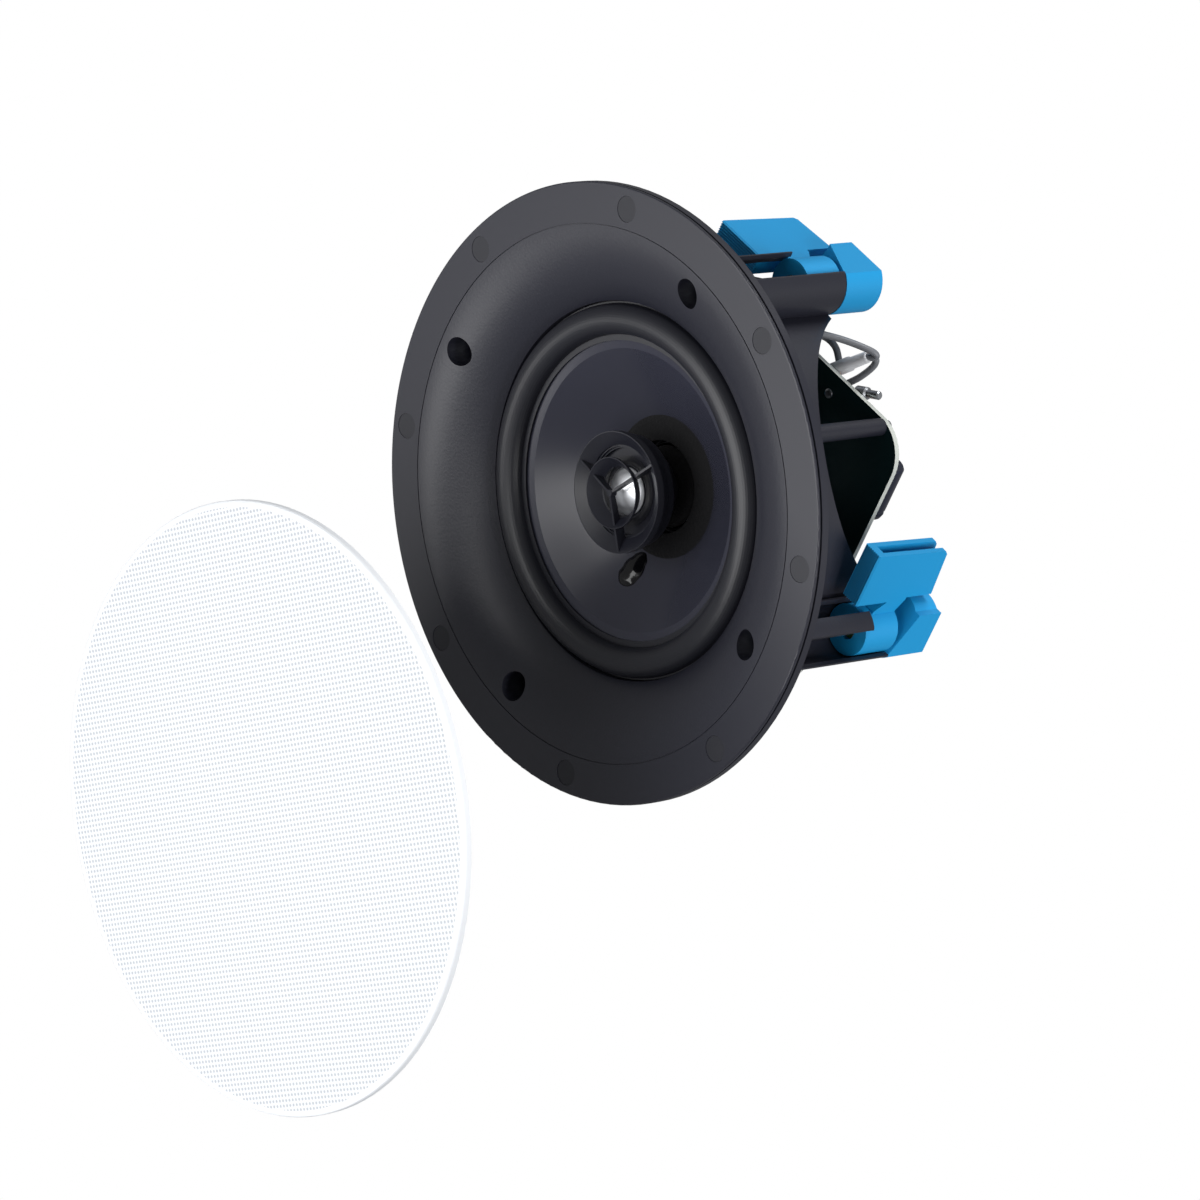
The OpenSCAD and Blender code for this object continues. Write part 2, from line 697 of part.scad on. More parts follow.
// Round component lying on the back of the board along X, with a necked end.
module lying_can(radius, length) {
    translate([-length / 2, 0, board_back + radius + 0.2]) rotate([0, 90, 0]) rotate_extrude()
        polygon([
            [0, 0], [radius - 0.6, 0], [radius, 0.8], [radius, length - 3.4],
            [radius - 0.7, length - 2.8], [radius - 0.7, length - 2.2], [radius, length - 1.6],
            [radius - 0.5, length], [0, length]
        ]);
    for (s = [-1, 1])
        translate([s * (length / 2 + 1.6), 0, board_back]) cylinder(r = 0.5, h = radius + 0.6, $fn = 16);
    for (s = [-1, 1])
        translate([s * (length / 2 + 0.8), 0, board_back + radius + 0.2]) rotate([0, 90, 0])
            cylinder(r = 0.5, h = 2.4, center = true, $fn = 16);
}

module capacitors() {
    color("#20242e") {
        translate([-30, -22, 0]) rotate([0, 0, 90]) lying_can(cap_big_r, cap_big_l);
        translate([50, -32, 0]) rotate([0, 0, 90]) lying_can(cap_big_r - 1.5, cap_big_l - 8);
        translate([-8, 34, 0]) lying_can(cap_big_r - 2, cap_big_l - 6);
    }
}

module inductor_bobbins() {
    color("#e4e2da") for (p = [[-36, 28], [14, -38]])
        translate([p[0], p[1], board_back]) {
            ring(coil_out_r + 0.6, 2, 0, 1.4);
            ring(coil_out_r + 0.6, 2, coil_h + 1.4, coil_h + 2.8);
            ring(5, 2, 1.4 - eps, coil_h + 1.4 + eps);
        }
}

module inductor_coils() {
    color("#b4632a") for (p = [[-36, 28], [14, -38]])
        translate([p[0], p[1], board_back]) ring(coil_out_r, 5.1, 1.5, coil_h + 1.3);
}

module resistor() {
    color("#dedbd2") translate([18, 2, board_back + 0.1]) {
        translate([-11, -3.5, 0]) cube([22, 7, 7]);
    }
    color("#b9bcc1") translate([18, 2, board_back + 0.1]) for (s = [-1, 1])
        translate([s * 12, 0, 0]) cylinder(r = 0.5, h = 3.5, $fn = 16);
    color("#b9bcc1") translate([18, 2, board_back + 3.2]) for (s = [-1, 1])
        translate([s * 11.7, 0, 0]) rotate([0, 90, 0]) cylinder(r = 0.5, h = 1.6, center = true, $fn = 16);
}

// Push terminal block at the board's edge; the levers slide in its two slots.
module terminal_block() {
    color("#d8d6cf") translate([board_half - 12, 24, board_back]) difference() {
        translate([0, -terminal_w / 2, 0.05]) cube([15, terminal_w, terminal_h]);
        for (s = [-1, 1]) translate([0, s * terminal_w / 4, 0]) {
            translate([7, -3.9, terminal_h - 6]) cube([9, 7.8, 7]);
            translate([-1, 0, 3.6]) rotate([0, 90, 0]) cylinder(r = 1.8, h = 18, $fn = 32);
        }
    }
}

module terminal_lever(side, tint) {
    color(tint) translate([board_half - 12, 24 + side * terminal_w / 4, board_back]) {
        translate([10.6, -3.5, terminal_h - 5.4]) cube([6.4, 7, 5]);
        translate([14.2, -3.5, terminal_h - 5.4]) cube([2.8, 7, 8.4]);
    }
}

// Sleeved push-on connectors on the two tabs at the board's edge.
module push_on_connectors() {
    for (p = [[8, -55, 30], [26, -56.5, -14]]) translate([p[0], p[1], board_back]) {
        color("#b9bcc1") translate([-0.4, -1.6, 0]) cube([0.8, 3.2, 7.6]);
        color("#d6d6da") translate([0, 0, 5.2]) rotate([0, 0, p[2]]) rotate([90, 0, 0]) difference() {
            cylinder(r1 = sleeve_r, r2 = sleeve_r - 0.4, h = 13, $fn = 32);
            translate([0, 0, 9]) cylinder(r = wire_r + 0.05, h = 5, $fn = 24);
            translate([0, 0, -1]) cube([1.4, 4.8, 8], center = true);
        }
    }
}

// Round wire of radius r swept along points; side faces are flat, with eight to a ring.
module swept_wire(path, r, sides = 8) {
    count = len(path);
    function unit(v) = v / norm(v);
    function heading(i) = unit(path[min(i + 1, count - 1)] - path[max(i - 1, 0)]);
    function side_of(d) = unit(cross(d, abs(d.z) < 0.8 ? [0, 0, 1] : [1, 0, 0]));
    function carried(i) = i == 0 ? side_of(heading(0))
        : let (d = heading(i), p = carried(i - 1)) unit(p - d * (p * d));
    points = [for (i = [0:count - 1]) let (d = heading(i), a = carried(i), b = cross(d, a))
        for (k = [0:sides - 1]) path[i] + r * (cos(360 * k / sides) * a + sin(360 * k / sides) * b)];
    walls = [for (i = [0:count - 2], k = [0:sides - 1]) let (n = (k + 1) % sides)
        [i * sides + k, i * sides + n, (i + 1) * sides + n, (i + 1) * sides + k]];
    start = [[for (k = [sides - 1:-1:0]) k]];
    end = [[for (k = [0:sides - 1]) (count - 1) * sides + k]];
    polyhedron(points = points, faces = concat(start, walls, end), convexity = 4);
}

// Smooth curve through four control points, as a list of points.
function bend(a, b, c, d, n = 14) = [for (i = [0:n]) let (t = i / n, s = 1 - t)
    s * s * s * a + 3 * s * s * t * b + 3 * s * t * t * c + t * t * t * d];

module tinsel_leads() {
    color("#a9793c") rotate([0, 0, strip_angle]) for (s = [-1, 1])
        swept_wire(bend(
            [31.5, s * 4, cone_depth(31.5) + 2], [42, s * 5, cone_depth(31.5) + 6],
            [58, s * 5, basket_back + 14], [65.6, s * 5, basket_back + 7]
        ), tinsel_r);
}

module woofer_wires() {
    color("#8a8c90") {
        swept_wire(bend(
            [5, -67.6, basket_back + 9.4], [5, -68, 62], [-9, -76, 86], [1.5, -66.3, board_back + 5.2]
        ), wire_r);
        swept_wire(bend(
            [-5, -67.6, basket_back + 9.4], [-5, -70, 60], [34, -84, 92], [22.9, -69.2, board_back + 5.2]
        ), wire_r);
    }
}

module tweeter_wires() {
    color("#8a8c90") for (s = [-1, 1])
        swept_wire(concat([[s * 1.45, 0, cup_back - 2], [s * 1.45, 0, board_front - 1]], bend(
            [s * 1.45, 0, board_back + 1], [s * 1.45, 0, board_back + 5],
            [s * 2.4, 6, board_back + 5], [s * 2.4, 7, board_back + 0.4], n = 8
        )), wire_r);
}

// Clamp screw: head in the access hole, shank through the collar plate and up the tower.
module clamp_screw(n) {
    color("#b9bcc1") at_clamp(n) difference() {
        union() {
            translate([0, 0, plate_front - screw_head_h - run_clear])
                cylinder(r1 = screw_head_r - 0.5, r2 = screw_head_r, h = screw_head_h, $fn = 48);
            translate([0, 0, plate_front - run_clear - eps])
                cylinder(r = screw_r, h = screw_end - plate_front, $fn = 48);
        }
        for (a = [0, 90])
            rotate([0, 0, a]) translate([-2.4, -0.5, plate_front - screw_head_h - run_clear - 1])
                cube([4.8, 1, recess_d + 1]);
    }
}

module clamp_bush(n) {
    color("#c8a552") at_clamp(n) ring(bush_r, screw_r + bush_clear, bush_front, bush_front + bush_l);
}

// Side view of the leg and arm: distance from the screw across, depth up.
module dog_leg_side() {
    polygon([
        [0, arm_front], [hub_r + 0.4, arm_front], [leg_near, arm_front + 5],
        [leg_near, grip_face + tooth_h], [leg_tip, grip_face + tooth_h],
        [leg_tip - 1.5, leg_back - 1.3], [leg_tip - 2.9, leg_back], [leg_near + 1, leg_back + 1.9],
        [leg_near + 1, hub_back + 2.9], [leg_near, hub_back + 2.9], [hub_r, hub_back], [0, hub_back]
    ]);
}

// Saw-toothed strip along the leg's gripping face.
module teeth() {
    pitch = leg_t / tooth_count;
    translate([0, -leg_near, 0]) rotate([90, 0, 0]) linear_extrude(height = leg_tip - leg_near)
        polygon(concat(
            [for (i = [0:tooth_count - 1]) each [
                [i * pitch, grip_face + tooth_h], [(i + 0.5) * pitch, grip_face]
            ]],
            [[leg_t, grip_face + tooth_h], [leg_t, grip_face + tooth_h + eps],
             [0, grip_face + tooth_h + eps]]
        ));
}

// Dog-leg clamp, parked with its leg beside the tower. It turns outwards about the screw.
module clamp(n) {
    color("#00a0e6") at_clamp(n) difference() {
        union() {
            translate([0, 0, hub_front]) cylinder(r = hub_r, h = hub_back - hub_front);
            translate([leg_x + leg_t / 2, 0, 0]) rotate([90, 0, -90])
                linear_extrude(height = leg_t, center = true) dog_leg_side();
            translate([leg_x, 0, 0]) teeth();
        }
        translate([leg_x + blade_t, -leg_tip - 1, grip_face + grip_t])
            cube([leg_t - 2 * blade_t, leg_tip - leg_near - 1, 60]);
        translate([0, 0, hub_front - 1]) cylinder(r = bush_r + bush_clear, h = 30, $fn = 64);
    }
}

// Blue caps that close the towers; the front edge rises where the parked clamp swings out.
module tower_caps() {
    color("#00a0e6") for (n = [1:4]) at_clamp(n) difference() {
        translate([0, 0, tower_end]) linear_extrude(height = cap_back - tower_end) intersection() {
            union() {
                circle(r = cap_r);
                translate([0, -cap_corner]) square([cap_flat, cap_corner]);
            }
            translate([-cap_r, -cap_r]) square([cap_r + cap_flat, 2 * cap_r]);
        }
        rotate([90, 0, 90]) linear_extrude(height = 4 * cap_r, center = true) polygon([
            [6.6, tower_end - 1], [6.6, tower_end], [-cap_r - 1, tower_end + cap_rise],
            [-cap_r - 1, tower_end - 1]
        ]);
        cylinder(r = screw_r + run_clear, h = 2 * cap_back, $fn = 48);
    }
}

// Pressed sheet with a folded rim, shown off the speaker; it lifts back onto the flange's magnets.
module off_the_speaker() translate([0, grille_aside, -grille_down]) children();

module grille_sheet() {
    color("#f0f1f3") off_the_speaker() rotate_extrude() polygon([
        [0, -grille_h - seat_gap], [grille_r - 1, -grille_h - seat_gap],
        [grille_r - 0.3, -grille_h - seat_gap + 0.3], [grille_r, -grille_h - seat_gap + 1],
        [grille_r, -seat_gap], [grille_r - grille_t, -seat_gap],
        [grille_r - grille_t, -grille_h - seat_gap + grille_t], [0, -grille_h - seat_gap + grille_t]
    ]);
}

module grille_cloth() {
    front = -grille_h - seat_gap + grille_t;
    color("#e9eaec") off_the_speaker() ring(grille_r - grille_t - 2, 0, front, front + scrim_t);
}

seated() mounting_frame();
seated() flange_magnets();
seated() woofer_gasket();
seated() woofer_basket();
seated() woofer_screws();
seated() woofer_surround();
seated() woofer_cone();
seated() cone_collar();
seated() lead_glue();
seated() voice_coil_former();
seated() voice_coil();
seated() spider();
seated() top_plate();
seated() ferrite_ring();
seated() back_plate();
seated() lead_strip();
seated() tinsel_leads();
seated() tweeter_stem();
seated() tweeter_cup();
seated() tweeter_shield();
seated() tweeter_faceplate();
seated() tweeter_surround();
seated() tweeter_dome();
seated() tweeter_motor();
seated() crossover_board();
seated() board_screws();
seated() capacitors();
seated() inductor_bobbins();
seated() inductor_coils();
seated() resistor();
seated() terminal_block();
seated() terminal_lever(-1, "#b3262a");  // terminal_lever_1
seated() terminal_lever(1, "#1d1d20");  // terminal_lever_2
seated() push_on_connectors();
seated() woofer_wires();
seated() tweeter_wires();
seated() clamp_screw(1);  // clamp_screw_1
seated() clamp_screw(2);  // clamp_screw_2
seated() clamp_screw(3);  // clamp_screw_3
seated() clamp_screw(4);  // clamp_screw_4
seated() clamp_bush(1);  // clamp_bush_1
seated() clamp_bush(2);  // clamp_bush_2
seated() clamp_bush(3);  // clamp_bush_3
seated() clamp_bush(4);  // clamp_bush_4
seated() clamp(1);  // clamp_1
seated() clamp(2);  // clamp_2
seated() clamp(3);  // clamp_3
seated() clamp(4);  // clamp_4
seated() tower_caps();
seated() grille_sheet();
seated() grille_cloth();
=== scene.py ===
import json
import math

import bpy
from mathutils import Matrix, Vector, noise
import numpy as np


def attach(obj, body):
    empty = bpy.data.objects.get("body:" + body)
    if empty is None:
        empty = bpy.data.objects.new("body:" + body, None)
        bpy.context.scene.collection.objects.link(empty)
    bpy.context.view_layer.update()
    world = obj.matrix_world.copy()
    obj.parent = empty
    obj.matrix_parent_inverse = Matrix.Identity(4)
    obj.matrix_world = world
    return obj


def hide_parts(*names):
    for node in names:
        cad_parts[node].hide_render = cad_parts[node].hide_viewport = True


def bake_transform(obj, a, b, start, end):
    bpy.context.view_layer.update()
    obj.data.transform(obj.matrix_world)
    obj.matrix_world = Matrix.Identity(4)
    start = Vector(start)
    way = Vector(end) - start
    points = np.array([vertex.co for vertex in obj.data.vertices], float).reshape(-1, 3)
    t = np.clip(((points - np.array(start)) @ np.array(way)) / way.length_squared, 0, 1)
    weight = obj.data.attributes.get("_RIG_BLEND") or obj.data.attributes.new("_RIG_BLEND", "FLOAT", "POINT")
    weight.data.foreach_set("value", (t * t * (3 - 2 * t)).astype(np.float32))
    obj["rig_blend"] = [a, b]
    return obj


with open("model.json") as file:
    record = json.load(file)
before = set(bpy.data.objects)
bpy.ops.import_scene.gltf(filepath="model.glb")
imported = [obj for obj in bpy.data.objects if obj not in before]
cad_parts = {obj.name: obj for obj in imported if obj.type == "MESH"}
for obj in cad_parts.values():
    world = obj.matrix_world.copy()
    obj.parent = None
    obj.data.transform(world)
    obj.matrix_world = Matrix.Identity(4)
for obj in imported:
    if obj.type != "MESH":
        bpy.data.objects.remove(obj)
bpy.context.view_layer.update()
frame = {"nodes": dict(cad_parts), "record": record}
nodes = frame["nodes"]

MM = 0.001  # sizes are written in millimetres, as the maker gives them
FLANGE_MM = 5.2  # the part's origin is this far behind the flange's front face
DISH_EDGE_MM = 98.4  # radius at which the grained dish meets the smooth flange
PUNCHED_RADIUS_MM = 110.5  # the grille's holes stop here, short of its rim
GRILLE_CENTRE = (0.0, 0.132, 0.0)  # metres, where the grille lies off the speaker
WIRE_RADIUS_MM = 1.3  # over the insulation of the driver's wires
TAB_RADIUS_MM = 1.4  # from the middle to a corner of the board's square tabs
SOLID_EDGE = math.radians(32)  # an edge of the solids turned more than this stays crisp
ADDED_EDGE = math.radians(40)  # the same for the pieces that the scene adds

# Materials


def linear(hex_colour):
    """Linear RGBA of an sRGB hex colour, as the shader sockets want it."""
    channels = [int(hex_colour[i:i + 2], 16) / 255 for i in (1, 3, 5)]
    return [c / 12.92 if c <= 0.04045 else ((c + 0.055) / 1.055) ** 2.4 for c in channels] + [1.0]


def add_node(tree, kind, settings=None, inputs=None):
    """Adds one shader node; settings are its properties, inputs its sockets' values or links."""
    node = tree.nodes.new(kind)
    for name, value in (settings or {}).items():
        setattr(node, name, value)
    for name, value in (inputs or {}).items():
        if isinstance(value, bpy.types.NodeSocket):
            tree.links.new(value, node.inputs[name])
        else:
            node.inputs[name].default_value = value
    return node


def new_material(name, **shader_values):
    """A material with one Principled shader, whose even values are set on its own sockets."""
    material = bpy.data.materials.new(name)
    material.use_nodes = True
    shader = material.node_tree.nodes["Principled BSDF"]
    for socket, value in shader_values.items():
        shader.inputs[socket.replace("_", " ")].default_value = value
    return material, material.node_tree, shader


def object_place(tree):
    """The point on the piece in its own frame, so that a pattern stays put when the piece moves."""
    return add_node(tree, "ShaderNodeTexCoord").outputs["Object"]


def grain_bump(tree, shader, cell_mm, depth_mm, kind="noise", where=None):
    """Bump of grains cell_mm across and depth_mm deep; where is an optional mask socket, 0 to 1."""
    place = object_place(tree)
    per_metre = 1 / (cell_mm * MM)
    if kind == "noise":
        height = add_node(tree, "ShaderNodeTexNoise", None, {
            "Vector": place, "Scale": per_metre, "Detail": 2.0, "Roughness": 0.5}).outputs["Fac"]
    else:
        height = add_node(tree, "ShaderNodeTexVoronoi", {"feature": "SMOOTH_F1"}, {
            "Vector": place, "Scale": per_metre, "Smoothness": 0.6}).outputs["Distance"]
    strength = where if where is not None else 1.0
    bump = add_node(tree, "ShaderNodeBump", None, {
        "Height": height, "Distance": depth_mm * MM, "Strength": strength})
    tree.links.new(bump.outputs["Normal"], shader.inputs["Normal"])


def moulded_abs():
    """Frame: ABS, injection moulded in near-black blue-grey, with a pebble grain etched on the dish."""
    material, tree, shader = new_material(
        "moulded_abs_frame", Base_Color=linear("#20212B"), Roughness=0.4, IOR=1.53)
    place = object_place(tree)
    split = add_node(tree, "ShaderNodeSeparateXYZ", None, {"Vector": place})
    across = add_node(tree, "ShaderNodeCombineXYZ", None, {"X": split.outputs["X"], "Y": split.outputs["Y"]})
    radius = add_node(tree, "ShaderNodeVectorMath", {"operation": "LENGTH"}, {0: across.outputs["Vector"]})
    on_dish = add_node(tree, "ShaderNodeMapRange", {"interpolation_type": "SMOOTHSTEP"}, {
        "Value": radius.outputs["Value"], "From Min": DISH_EDGE_MM * MM, "From Max": (DISH_EDGE_MM - 1) * MM})
    # Grains a millimetre across show as the fine pebble that the dish has and the flange hasn't.
    grain_bump(tree, shader, 1.0, 0.03, "pebble", on_dish.outputs["Result"])
    return material


def plain_moulding(name, colour, roughness, grain_mm=0.5, depth_mm=0.006):
    """A plastic, rubber, lacquer or cloth, with the faint grain of its mould or weave."""
    material, tree, shader = new_material(
        name, Base_Color=linear(colour), Roughness=roughness, IOR=1.5)
    grain_bump(tree, shader, grain_mm, depth_mm)
    return material


def bare_metal(name, colour, roughness):
    """A metal or plating without paint, with the fine unevenness of its rolling or plating."""
    material, tree, shader = new_material(
        name, Base_Color=linear(colour), Roughness=roughness, Metallic=1.0)
    grain_bump(tree, shader, 0.4, 0.004)
    return material


def solder_mask_board():
    """Board: dark solder mask on its faces, and the pale cut glass fibre at its edge."""
    material, tree, shader = new_material("solder_mask_board", Roughness=0.3, IOR=1.5)
    facing = add_node(tree, "ShaderNodeSeparateXYZ", None, {
        "Vector": add_node(tree, "ShaderNodeTexCoord").outputs["Normal"]})
    flat = add_node(tree, "ShaderNodeMath", {"operation": "ABSOLUTE"}, {0: facing.outputs["Z"]})
    on_face = add_node(tree, "ShaderNodeMath", {"operation": "GREATER_THAN"}, {
        0: flat.outputs[0], 1: 0.5})
    colour = add_node(tree, "ShaderNodeMix", {"data_type": "RGBA"}, {
        "Factor": on_face.outputs[0], 6: linear("#C4C8C2"), 7: linear("#0E2A2C")})
    tree.links.new(colour.outputs[2], shader.inputs["Base Color"])
    # The weave of the glass under the mask, 1.6 mm from thread to thread, drawn coarse so that it shows.
    grain_bump(tree, shader, 1.6, 0.01)
    return material


def perforated_steel():
    """Grille: white powder coat over a sheet punched in staggered rows of small round holes."""
    material, tree, shader = new_material("powder_coated_perforated_steel", Roughness=0.55, IOR=1.5)
    place = object_place(tree)
    # Holes 1.15 mm across, 1.9 mm apart: coarser than the real sheet's, so that the rows show as a screen.
    pitch, hole = 1.9, 1.15
    turned = add_node(tree, "ShaderNodeMapping", None, {
        "Vector": place, "Rotation": (0, 0, math.radians(45))})
    cells = add_node(tree, "ShaderNodeTexVoronoi", {"voronoi_dimensions": "2D"}, {
        "Vector": turned.outputs["Vector"], "Scale": 1 / (pitch * MM), "Randomness": 0.0})
    edge, softness = hole / 2 / pitch, 0.06  # shares of the pitch
    solid = add_node(tree, "ShaderNodeMapRange", {"interpolation_type": "SMOOTHSTEP"}, {
        "Value": cells.outputs["Distance"], "From Min": edge - softness, "From Max": edge + softness})
    split = add_node(tree, "ShaderNodeSeparateXYZ", None, {"Vector": place})
    from_axis = add_node(tree, "ShaderNodeVectorMath", {"operation": "DISTANCE"}, {
        0: add_node(tree, "ShaderNodeCombineXYZ", None, {
            "X": split.outputs["X"], "Y": split.outputs["Y"]}).outputs["Vector"],
        1: GRILLE_CENTRE})
    rim = add_node(tree, "ShaderNodeMath", {"operation": "GREATER_THAN"}, {
        0: from_axis.outputs["Value"], 1: PUNCHED_RADIUS_MM * MM})
    closed = add_node(tree, "ShaderNodeMath", {"operation": "MAXIMUM"}, {
        0: solid.outputs["Result"], 1: rim.outputs[0]})
    # The holes are painted a darker grey than the white cloth behind them: painted shade inside the holes.
    colour = add_node(tree, "ShaderNodeMix", {"data_type": "RGBA"}, {
        "Factor": closed.outputs[0], 6: linear("#B4B8BF"), 7: linear("#DCDFE3")})
    tree.links.new(colour.outputs[2], shader.inputs["Base Color"])
    bump = add_node(tree, "ShaderNodeBump", None, {
        "Height": closed.outputs[0], "Distance": 0.4 * MM, "Strength": 0.5})
    tree.links.new(bump.outputs["Normal"], shader.inputs["Normal"])
    return material


MATERIALS = {
    "moulded_body": moulded_abs(),
    # A dull disc, a shade off the flange round it.
    "grille_magnets": plain_moulding("nickel_plated_magnet", "#1B1C24", 0.55),
    # Deep black with no highlight, and lumps of 1.3 mm.
    "foam": plain_moulding("closed_cell_foam", "#050508", 0.95, 1.3, 0.4),
    # Near black with a soft sheen.
    "basket": plain_moulding("satin_black_powder_coat", "#1B1B1F", 0.5),
    # Bright and bluish, the only glints among the black.
    "screws": bare_metal("zinc_plated_steel_screws", "#B9BCC1", 0.32),
    # A broad soft highlight along the roll.
    "surround_rubber": plain_moulding("moulded_butyl_rubber", "#1A1B22", 0.4),
    # A silky sheen that runs down from the rim, bluish from the mica.
    "cone": plain_moulding("mica_filled_polypropylene_cone", "#2E2F3B", 0.27),
    # Wet-looking black, with slow waves 3 mm across.
    "glue": plain_moulding("set_contact_glue", "#0A0A0D", 0.12, 3.0, 0.05),
    # Foil former painted near black: painted shade for the gap in the neck where it sits, dark metal without
    # a clear reflection.
    "former": bare_metal("foil_former_painted_dark", "#2A2A2D", 0.6),
    # Warm orange under clear enamel.
    "copper": bare_metal("enamelled_copper_winding", "#B5672C", 0.35),
    # Yellow-brown cloth stiffened with resin, with threads 0.4 mm apart.
    "spider_cloth": plain_moulding("impregnated_cotton_spider", "#C4A052", 0.85, 0.4, 0.05),
    # Grey steel with a dull shine.
    "motor_steel": bare_metal("zinc_plated_motor_steel", "#9A9DA2", 0.38),
    # Dark grey stone, matt from the grinding.
    "ferrite": plain_moulding("ground_ferrite", "#2B2C2E", 0.55),
    # Brown resin board.
    "strip_board": plain_moulding("phenolic_tag_strip", "#3B2C1F", 0.5),
    # Braid between copper and tin in colour.
    "tinsel": bare_metal("tinned_copper_tinsel", "#B08A58", 0.45),
    # Smoother than the frame, so that the ring's edge catches the light.
    "tweeter_plastic": plain_moulding("satin_abs_tweeter_ring", "#1E1F28", 0.38),
    # Silver, with one broad blurred highlight.
    "dome_metal": bare_metal("pressed_aluminium_dome", "#E4E6EA", 0.38),
    "circuit_board": solder_mask_board(),
    # Slightly shiny blue-black film drawn tight.
    "capacitor_sleeve": plain_moulding("shrink_sleeve", "#1C2030", 0.3),
    # Milky off-white.
    "bobbin": plain_moulding("natural_nylon_bobbin", "#E3E0D8", 0.5),
    # Chalky white without shine.
    "ceramic": plain_moulding("cement_resistor_body", "#DAD6CC", 0.8),
    # Pale grey with a soft shine.
    "terminal_plastic": plain_moulding("terminal_nylon", "#CFCDC6", 0.45),
    # Red and black, so that the poles can be told apart.
    "lever_red": plain_moulding("red_terminal_lever", "#B0242A", 0.35),
    "lever_black": plain_moulding("black_terminal_lever", "#1A1A1D", 0.35),
    # Light grey, nearly white against the wires.
    "sleeve": plain_moulding("vinyl_connector_sleeve", "#CFD0D4", 0.45),
    # Mid grey with a soft line of light along each wire.
    "wire": plain_moulding("grey_pvc_wire", "#6F7176", 0.45),
    # Yellow metal with turning marks too fine to show.
    "brass": bare_metal("turned_brass_bush", "#C8A552", 0.3),
    # Strong cyan blue, matt from the glass fibre at its surface.
    "clamp_blue": plain_moulding("glass_filled_nylon_clamp", "#0090CC", 0.55),
    "grille_paint": perforated_steel(),
    # Even white behind the holes.
    "grille_fabric": plain_moulding("white_scrim_cloth", "#DADBDD", 0.9),
}
slots = {subpart["node"]: subpart["material_slot"] for subpart in frame["record"]["subparts"]}
for name, piece in nodes.items():
    piece.data.materials.clear()
    piece.data.materials.append(MATERIALS[slots[name]])
    piece.data.shade_smooth()
    piece.data.set_sharp_from_angle(angle=SOLID_EDGE)

# Soft pieces that flex with the cone and the dome


def flexes(node_name, piece_name, moving_body, fixed_radius_mm, moving_radius_mm):
    """Stands in for a CAD node with a copy that bends between the frame and the moving body."""
    piece = nodes[node_name].copy()
    piece.data = nodes[node_name].data.copy()
    piece.name = piece_name
    bpy.context.scene.collection.objects.link(piece)
    bpy.context.view_layer.update()
    world = nodes[node_name].matrix_world.copy()
    piece.parent = None
    piece.matrix_world = world
    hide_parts(node_name)
    piece.hide_render = piece.hide_viewport = False
    top, bottom = (0, 0, 0.1), (0, 0, -0.1)
    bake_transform(piece, "frame", moving_body, top, bottom)
    # The share that follows the moving body grows with the distance from the fixed radius.
    share = piece.data.attributes["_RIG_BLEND"].data
    for vertex in piece.data.vertices:
        radius = math.hypot(vertex.co.x, vertex.co.y) / MM
        along = (fixed_radius_mm - radius) / (fixed_radius_mm - moving_radius_mm)
        along = min(1.0, max(0.0, along))
        share[vertex.index].value = along * along * (3 - 2 * along)


flexes("woofer_surround", "rolled_rubber_surround", "cone", 69.0, 57.6)
flexes("spider", "corrugated_spider", "cone", 41.0, 16.4)
flexes("tinsel_leads", "braided_leads", "cone", 65.0, 32.0)
flexes("tweeter_surround", "dome_surround", "dome", 12.0, 9.4)

# Pieces that the scene adds or shapes more finely than the solids


def place_mm(x, y, depth):
    """A point in the row frame from millimetres, with its depth behind the flange's front face."""
    return Vector((x * MM, y * MM, (depth - FLANGE_MM) * MM))


def new_piece(name, points, faces, material, body):
    """A smooth-shaded mesh of points in metres that rides on one body."""
    mesh = bpy.data.meshes.new(name)
    mesh.from_pydata(points, [], faces)
    mesh.materials.append(MATERIALS[material])
    mesh.shade_smooth()
    mesh.set_sharp_from_angle(angle=ADDED_EDGE)
    piece = bpy.data.objects.new(name, mesh)
    bpy.context.scene.collection.objects.link(piece)
    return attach(piece, body)


def ring_faces(rows, count):
    """Faces between rings of count points each, the last ring joined to the first again."""
    faces = []
    for i in range(rows):
        here, there = i * count, (i + 1) % rows * count
        for k in range(count):
            beside = (k + 1) % count
            faces.append((here + k, here + beside, there + beside, there + k))
    return faces


def closed_grid(rows, count):
    """Faces of a closed tube of point rings, rows of them with count points each, capped at both ends."""
    faces = ring_faces(rows, count)[:(rows - 1) * count]
    last = (rows - 1) * count
    return faces + [tuple(range(count))[::-1], tuple(range(last, last + count))]


def tube(name, path, radius_mm, material, body, sides=20):
    """A round rod or wire through a list of points, with the radius at each point in millimetres."""
    radii = radius_mm if isinstance(radius_mm, list) else [radius_mm] * len(path)
    points, across = [], Vector((0.37, 0.21, 0.9))  # along no path, so that it can start the frame
    for i, centre in enumerate(path):
        heading = (path[min(i + 1, len(path) - 1)] - path[max(i - 1, 0)]).normalized()
        across = (across - heading * across.dot(heading)).normalized()
        third = heading.cross(across)
        for k in range(sides):
            angle = math.tau * k / sides
            points.append(centre + (across * math.cos(angle) + third * math.sin(angle)) * radii[i] * MM)
    return new_piece(name, points, closed_grid(len(path), sides), material, body)


def smooth_path(stops, steps=10):
    """Points of a smooth curve through all the stops."""
    ends = [stops[0] * 2 - stops[1]] + stops + [stops[-1] * 2 - stops[-2]]
    path = []
    for a, b, c, d in zip(ends, ends[1:], ends[2:], ends[3:]):
        for i in range(steps):
            t = i / steps
            path.append(0.5 * (2 * b + (c - a) * t + (2 * a - 5 * b + 4 * c - d) * t ** 2
                               + (3 * b - a - 3 * c + d) * t ** 3))
    return path + [stops[-1]]


